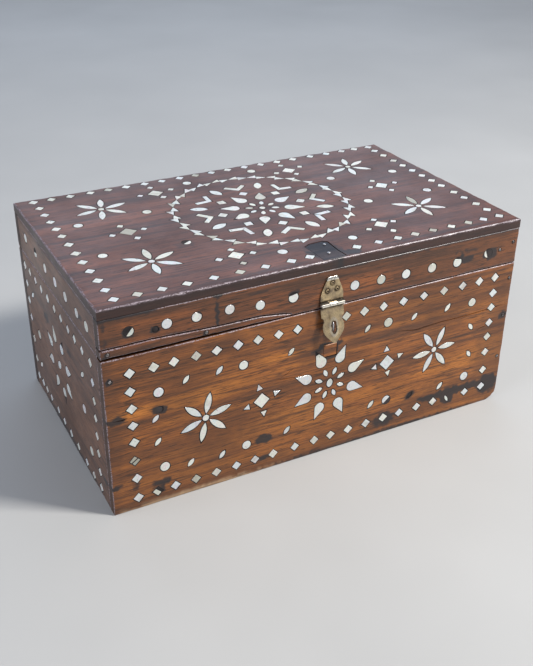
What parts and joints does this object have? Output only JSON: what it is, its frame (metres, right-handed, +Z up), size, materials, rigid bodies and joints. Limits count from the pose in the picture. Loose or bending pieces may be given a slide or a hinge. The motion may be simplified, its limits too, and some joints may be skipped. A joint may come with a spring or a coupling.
{
  "type": "inlaid wooden box",
  "caption": "Rectangular hardwood chest with a hinged lid, mother-of-pearl inlay set in dark mastic, and a slotted brass hasp over a wire staple.",
  "frame": {"origin": "middle of the box's underside", "axes": "+X along the front to the right, +Y from the front to the back, +Z up"},
  "size_m": [0.42, 0.264, 0.2029],
  "materials": {
    "front_wood": "worn wax polish over orange-brown hardwood with dark streaks",
    "top_wood": "purple-brown worn polish with a soft sheen",
    "side_wood": "dull brown worn polish",
    "inside_wood": "bare planed wood",
    "dark_wood": "blackened filler and stained wood",
    "pearl": "polished mother-of-pearl shell",
    "brass": "aged, browned in the hollows and bright on the knuckles",
    "iron": "dark iron, worn bright on the heads"
  },
  "bodies": {
    "case": {"case_front": "front_wood", "case_back": "side_wood", "case_left": "side_wood", "case_right": "side_wood", "case_bottom": "inside_wood", "keyhole_plug": "dark_wood", "hasp_staple": "iron", "hinge_left_case_leaf": "brass", "hinge_right_case_leaf": "brass", "hinge_left_pin": "brass", "hinge_right_pin": "brass", "hinge_left_case_screw_1": "brass", "hinge_left_case_screw_2": "brass", "hinge_right_case_screw_1": "brass", "hinge_right_case_screw_2": "brass", "nail_front_right_upper": "iron", "nail_front_right_middle": "iron", "nail_front_right_lower": "iron", "nail_front_left_upper": "iron", "front_drop_1": "pearl", "front_drop_2": "pearl", "front_drop_3": "pearl", "front_drop_4": "pearl", "front_drop_5": "pearl", "front_drop_6": "pearl", "front_drop_7": "pearl", "front_drop_8": "pearl", "front_diamond_left": "pearl", "front_diamond_right": "pearl"},
    "lid": {"lid_top": "top_wood", "lid_front": "front_wood", "lid_front_splice": "front_wood", "lid_back": "side_wood", "lid_left": "side_wood", "lid_right": "side_wood", "lid_patch": "dark_wood", "hasp_leaf": "brass", "hasp_pin": "iron", "hinge_left_lid_leaf": "brass", "hinge_right_lid_leaf": "brass", "hinge_left_lid_screw_1": "brass", "hinge_left_lid_screw_2": "brass", "hinge_right_lid_screw_1": "brass", "hinge_right_lid_screw_2": "brass", "hasp_nail_top": "brass", "hasp_nail_left": "brass", "hasp_nail_right": "brass", "nail_lid_right": "iron", "nail_lid_stray": "iron", "nail_splice_left": "iron", "nail_splice_right": "iron", "patch_nail_back": "iron", "patch_nail_front": "iron", "top_diamond_back_left": "pearl", "top_diamond_back_right": "pearl", "top_diamond_front_left": "pearl", "top_diamond_front_right": "pearl", "top_diamond_left": "pearl", "top_diamond_right": "pearl"},
    "strap": {"hasp_strap": "brass"}
  },
  "joints": [
    {"name": "lid_hinge", "type": "hinge", "parent": "case", "child": "lid", "pos_m": [0, 0.124, 0.157], "axis": [-1, 0, 0], "range_deg": [0, 100]},
    {"name": "hasp_hinge", "type": "hinge", "parent": "lid", "child": "strap", "pos_m": [0.002, -0.1297, 0.1606], "axis": [-1, 0, 0], "range_deg": [-13.5, 166]}
  ]
}
